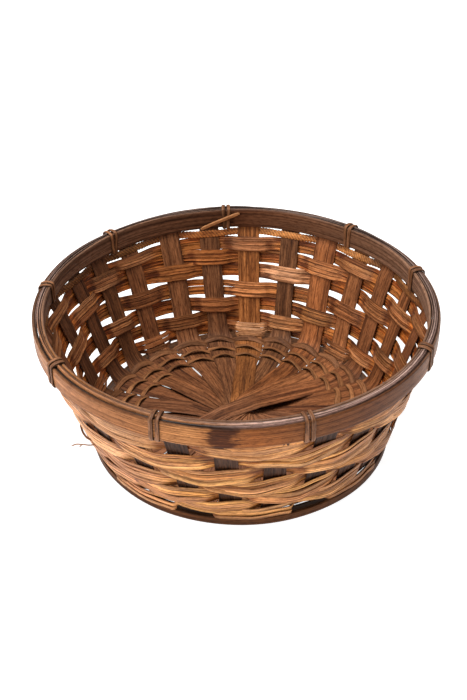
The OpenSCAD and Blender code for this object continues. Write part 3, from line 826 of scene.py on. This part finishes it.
# ---------------------------------------------------------------------------
# Floor strands: pairs twined round the splints
# ---------------------------------------------------------------------------
def strand(name, node, r0, firsts, seed, w=3.7, slope=1.9, rise=1.5, turn=False):
    rng = np.random.default_rng(seed)
    b = Build(name)
    s = np.arange(0, 26, 0.04)
    ph = (s + firsts + 0.5) % 2  # 0..1 over a splint, 1..2 under it
    over = ph < 1
    v = np.where(over, ph, ph - 1)
    arch = np.sin(np.pi * v)
    zrel = np.where(over, 0.35 + 0.65 * arch**0.7 + rise * arch**1.6, -0.35 - 0.6 * arch**0.6)
    x = np.where(over, slope * (1 - 2 * v), -slope * (1 - 2 * v))
    x = x + np.where(over, 0.7 * arch, 0)
    rad = r0 + x + Ring(rng, 3, 11, 0.35)(s / 26 * 2 * math.pi)
    z0 = FLOOR_Z + np.zeros_like(s)
    if turn:
        z0 = np.interp(rad, wall_line[:, 0], wall_line[:, 1])
    th = theta(s)
    amp = 1 + 0.22 * np.clip(Ring(rng, 5, 13, 1.0)(np.radians(th)), -1, 1)
    P = polar(rad, th, z0 + zrel * np.where(over, amp, 1))
    radial = polar(1.0, th, 0.0)
    Tan, _ = along(P, True)
    tiltd = np.where(over, 24 * arch, 4) + (14 if turn else 0)
    tl = np.radians(tiltd)
    X = np.cos(tl)[:, None] * radial - np.sin(tl)[:, None] * np.array([0, 0, 1.0]) if not turn else np.cos(tl)[:, None] * radial + np.sin(tl)[:, None] * np.array([0, 0, 1.0])
    X = unit(X - (X * Tan).sum(-1, keepdims=True) * Tan)
    Y = unit(np.cross(X, Tan))
    Y = Y * np.where(Y[:, 2:] < 0, -1, 1)
    top = lin((112, 75, 49) if turn else (138, 95, 62))[None] * (1 + 0.12 * np.clip(Ring(rng, 4, 20, 1.0)(np.radians(th)), -1, 1))[:, None]
    bot = lin((84, 56, 38))
    ww = w * (1 + 0.12 * np.where(over, arch, 0)) * (1 + 0.06 * Ring(rng, 8, 20, 1.0)(np.radians(th)))
    b.strip(P, X, Y, ww, 0.72, (top, np.repeat(bot[None], len(s), 0)), stain=0.12, nx=6, edge=0.12, crown=0.12, closed=True, seed=seed, rim=0.4)
    b.make(M_FLOOR, [node])


for tag, r0, w, slope, turn in (("inner", 68.6, 3.5, 1.9, False), ("middle", 78.2, 3.6, 1.9, False), ("outer", 87.7, 3.9, 1.5, True)):
    strand(f"floor_strand_{tag}_a_twined", f"floor_strand_{tag}_a", r0, 0, int(r0) * 3, w, slope, 1.4, turn)
    strand(f"floor_strand_{tag}_b_twined", f"floor_strand_{tag}_b", r0, 1, int(r0) * 3 + 1, w, slope, 1.4, turn)


# ---------------------------------------------------------------------------
# Rim hoops and fillers
# ---------------------------------------------------------------------------
def hoop(name, node, mat, r_mid, z_mid, width, thick, tint_out, tint_in, seed, n=720, crown=0.25, wob=(0.15, 0.2), nx=12, edge=0.04, bulge=None,
         stain=None, lean=0.0, ridge_amp=0.05, extra=(), rim=0.3, low=None, dz=None):
    rng = np.random.default_rng(seed)
    th = np.linspace(0, 360, n, endpoint=False)
    rad = np.radians(th)
    r = r_mid + Ring(rng, 2, 7, wob[0])(rad)
    z = z_mid + Ring(rng, 2, 8, wob[1])(rad)
    if dz is not None:
        z = z + dz(th)
    P = polar(r, th, z)
    radial = polar(1.0, th, 0.0)
    X = unit(math.sin(lean) * radial + math.cos(lean) * np.array([0, 0, 1.0]))
    Y = unit(math.cos(lean) * radial - math.sin(lean) * np.array([0, 0, 1.0]))
    Tw = thick + (bulge(th) if bulge else 0) * np.ones(n)
    W = width + Ring(rng, 3, 12, wob[1] * 0.7)(rad)
    if low is not None:
        W = W + low(th)
        P = polar(r, th, z - low(th) / 2)
    cs = [(rng.uniform(-width / 2, width / 2), rng.uniform(0.25, 0.8), rng.uniform(-1, 1) * ridge_amp) for _ in range(14)]
    sway = Ring(rng, 1, 4, 0.4)

    def ridge(Ls, A, sd):
        xx = A + sway(rad)[:, None]
        return sum(h * np.exp(-(((xx - c) / w) ** 2)) for c, w, h in cs) * sd

    to = tint_out(th) if callable(tint_out) else np.repeat(lin(tint_out)[None], n, 0)
    ti = tint_in(th) if callable(tint_in) else np.repeat(lin(tint_in)[None], n, 0)
    st = stain(th) if stain else 0.1
    b = Build(name)
    b.strip(P, X, Y, W, Tw, (to, ti), stain=st, nx=nx, edge=edge, crown=crown, closed=True, ridge=ridge, seed=seed, rim=rim)
    for i, (r2, z2, w2, t2, c2) in enumerate(extra):
        Q = polar(r2 + Ring(rng, 2, 9, 0.12)(rad), th, z2 + Ring(rng, 2, 9, 0.05)(rad))
        b.strip(Q, X, Y, w2, t2, (np.repeat(lin(c2)[None], n, 0), ti), stain=0.15, nx=nx, edge=0.1, crown=0.12, closed=True, seed=seed + 5 + i, rim=0.5)
    return b.make(mat, [node])


def hoop_tone_sheen_and_shade(th):
    # Painted light over the hoop's own tone: a painted sheen near 100°, painted shade on the right from about 120° to
    # 176°, and lighter on the front left, where the light falls.
    stops = [0, 60, 100, 118, 128, 145, 160, 176, 184, 192, 205, 225, 240, 256, 275, 300, 360]
    cols = [(96, 62, 40), (112, 78, 58), (162, 132, 117), (136, 100, 80), (101, 63, 39), (99, 57, 30), (108, 64, 32), (132, 76, 34), (146, 90, 46),
            (170, 116, 70), (150, 98, 58), (150, 100, 64), (164, 114, 78), (134, 96, 72), (104, 70, 50), (96, 62, 40), (96, 62, 40)]
    c = lin(np.array(cols))
    return np.stack([np.interp(th, stops, c[:, i]) for i in range(3)], -1)


def node_mark(th):
    d = (th - 184.6) / np.where(th < 184.6, 5.4, 3.6)
    return np.clip(0.10 + 0.88 * np.exp(-d * d), 0, 1)


def node_ridge(th):
    d = (th - 187.0) / 1.2
    return 0.28 * np.exp(-d * d)


def stake_at(th):
    return np.interp(th, _t_all, _s_all)


def inner_top(th):
    c = lin(np.array([(150, 112, 88), (160, 108, 66), (150, 112, 88)]))
    return np.stack([np.interp(np.abs(((th - 220 + 180) % 360) - 180), [0, 25, 45], [c[1, i], c[1, i], c[0, i]]) for i in range(3)], -1)


def inner_face(th):
    c = lin(np.array([(92, 56, 36), (118, 82, 60), (138, 106, 86)]))
    return np.stack([np.interp(np.abs(((th + 180) % 360) - 180), [0, 28, 80], c[:, i]) for i in range(3)], -1)


hoop("outer_hoop_bamboo", "outer_hoop", M_HOOP, 123.95, 89.2, 12.7, 1.9, hoop_tone_sheen_and_shade, (84, 60, 46), 71, n=900, crown=0.16, wob=(0.12, 0.2),
     nx=16, edge=0.035, bulge=node_ridge, stain=node_mark)
hoop("inner_hoop_bamboo", "inner_hoop", M_INNER, 118.25, 91.05, 11.0, 1.6, inner_top, inner_face, 72, n=720, crown=-0.1, wob=(0.12, 0.25),
     nx=12, edge=0.05, low=lambda th: BACK_SAG * back(stake_at(th)))


def warm_side(th):
    """1 on the left and front of the rim, where the strands between the hoops are darker and warmer, the outer one as
    painted shadow.
    """
    return 1 - smooth(np.abs(((th - 222 + 180) % 360) - 180), 30, 52)


def filler_tone_sheen_and_shadow(cool, warm):
    def tint(th):
        k = warm_side(th)[:, None]
        return lin(cool)[None] * (1 - k) + lin(warm)[None] * k

    return tint


# The pale lilac colours are the fillers' tone with a painted sheen on the rim top; the outer strand's near-black on the
# left and front is a painted shadow.
for i, (tag, r, z, w, t, c) in enumerate((("inner", 119.75, 94.7, 3.4, 1.15, (190, 153, 137)), ("middle", 121.0, 95.1, 3.9, 1.2, (218, 184, 172)),
                                          ("outer", 122.2, 94.8, 3.5, 1.15, (174, 140, 130)))):
    warm = {"inner": (136, 92, 62), "middle": (160, 110, 74), "outer": (34, 22, 16)}[tag]
    hoop(f"rim_filler_{tag}_strand", f"rim_filler_{tag}", M_FILL, r, z, w, t, filler_tone_sheen_and_shadow(c, warm), (60, 44, 36), 80 + i, n=720, crown=0.0,
         wob=(0.07, 0.32), nx=5, edge=0.2, ridge_amp=0.06, dz=(lambda th: -1.3 * warm_side(th)) if tag == "outer" else None)
hoop("foot_hoop_bamboo", "foot_hoop", M_FOOT, 95.0, 5.1, 7.3, 1.3, (42, 25, 13), (108, 73, 48), 90, n=600, crown=0.1, wob=(0.1, 0.12), nx=8,
     edge=0.08, extra=((96.6, 2.75, 5.3, 1.3, (86, 50, 22)), (95.7, 3.3, 6.4, 0.5, (60, 36, 18))))

# ---------------------------------------------------------------------------
# Lashings
# ---------------------------------------------------------------------------
LASH_PATH = [[125.5, 94.4, 1, 0], [125.5, 88.6, 1, 0], [125.5, 83.6, 1, 0], [124.9, 82.2, 0.95, 0], [123.2, 81.9, 0.9, 0], [122, 82.6, 0.8, 0.25],
             [121.5, 83.8, 0.7, 0.65], [120.5, 84.9, 0.66, 1], [118.2, 84.9, 0.65, 1], [117, 85.1, 0.65, 1], [116.8, 86.4, 0.66, 1],
             [116.9, 90, 0.8, 0.3], [116.9, 95.8, 1, 0], [117.2, 97, 1, 0], [118.8, 97.7, 1, 0], [121.4, 97.8, 1, 0], [123.4, 97.3, 1, 0],
             [124.9, 96.5, 1, 0], [125.45, 95.5, 1, 0]]
LASH_AT = [-3.0, 40.7, 73.5, 115.4, 161.9, 201.0, 238.2, 279.7, 315.6]


def lashing(i, gap):
    rng = np.random.default_rng(300 + i)
    a = gap
    pts = np.array(LASH_PATH + LASH_PATH[:3], float)
    pts[:, 1] -= pts[:, 3] * BACK_SAG * float(back(stake_at(a % 360)))
    pts = pts[:, :3]
    line = catmull(pts, 0.5)
    start = np.argmin(np.linalg.norm(line[5:60, :2] - np.array([125.5, 88.6]), axis=1)) + 5
    end = len(line) - 1 - np.argmin(np.linalg.norm(line[::-1][:60, :2] - np.array([125.5, 88.6]), axis=1))
    line = line[start:end]
    ar = math.radians(a)
    R, Lt, Up = np.array([math.sin(ar), math.cos(ar), 0]), np.array([math.cos(ar), -math.sin(ar), 0]), np.array([0, 0, 1.0])
    b = Build(f"lashing_{i + 1}_strands")
    for side in (1, -1):
        off = side * 1.85 * line[:, 2] + Wave(rng, 30, 0.12)(np.arange(len(line)) * 0.5)
        P = line[:, 0:1] * R + line[:, 1:2] * Up + off[:, None] * Lt
        Tan, _ = along(P, True)
        X = unit(Lt[None] - (Tan @ Lt)[:, None] * Tan)
        Y = unit(np.cross(X, Tan))
        centre = 121.2 * R + 88 * Up
        Y = Y * np.sign(((P - centre) * Y).sum(-1))[:, None]
        w = 2.5 + Wave(rng, 25, 0.10)(np.arange(len(line)) * 0.5)
        top = lin((128, 88, 60)) * rng.uniform(0.85, 1.1)
        b.strip(P, X, Y, w, 0.75, (np.repeat(top[None], len(P), 0), np.repeat(lin((92, 62, 42))[None], len(P), 0)), stain=0.15, nx=7, edge=0.18, crown=0.18,
                closed=True, seed=300 + i * 2 + side, ridge=lambda Ls, A, sd: 0.06 * np.sin(A * 4.6 + 0.7) * sd, rim=0.5)
    b.make(M_LASH, [f"lashing_{i + 1}"])


for i, g in enumerate(LASH_AT):
    lashing(i, g)


def tail():
    p, q = polar(115.9, -12.0, 83.6), polar(115.9, 1.6, 94.6)
    t = np.linspace(0, 1, 40)[:, None]
    P = p + (q - p) * t + polar(1.0, -5.0, 0.0) * (np.sin(t * math.pi) * -0.3) + np.array([0, 0, 1.0]) * np.sin(t * math.pi) * 0.4
    Tan, _ = along(P)
    Y = np.repeat(-polar(1.0, -5.0, 0.0)[None], 40, 0)
    Y = unit(Y - (Y * Tan).sum(-1, keepdims=True) * Tan)
    X = unit(np.cross(Y, Tan))
    b = Build("lashing_tail_end")
    w = 2.6 * np.minimum(1, 0.55 + 0.45 * np.minimum(t[:, 0] * 12, (1 - t[:, 0]) * 12))
    b.strip(P, X, Y, w, 1.25, (np.repeat(lin((176, 122, 78))[None], 40, 0), np.repeat(lin((130, 88, 56))[None], 40, 0)), stain=0.1, nx=7, edge=0.2, crown=0.25,
            seed=5)
    b.make(M_LASH, ["lashing_tail"])


tail()
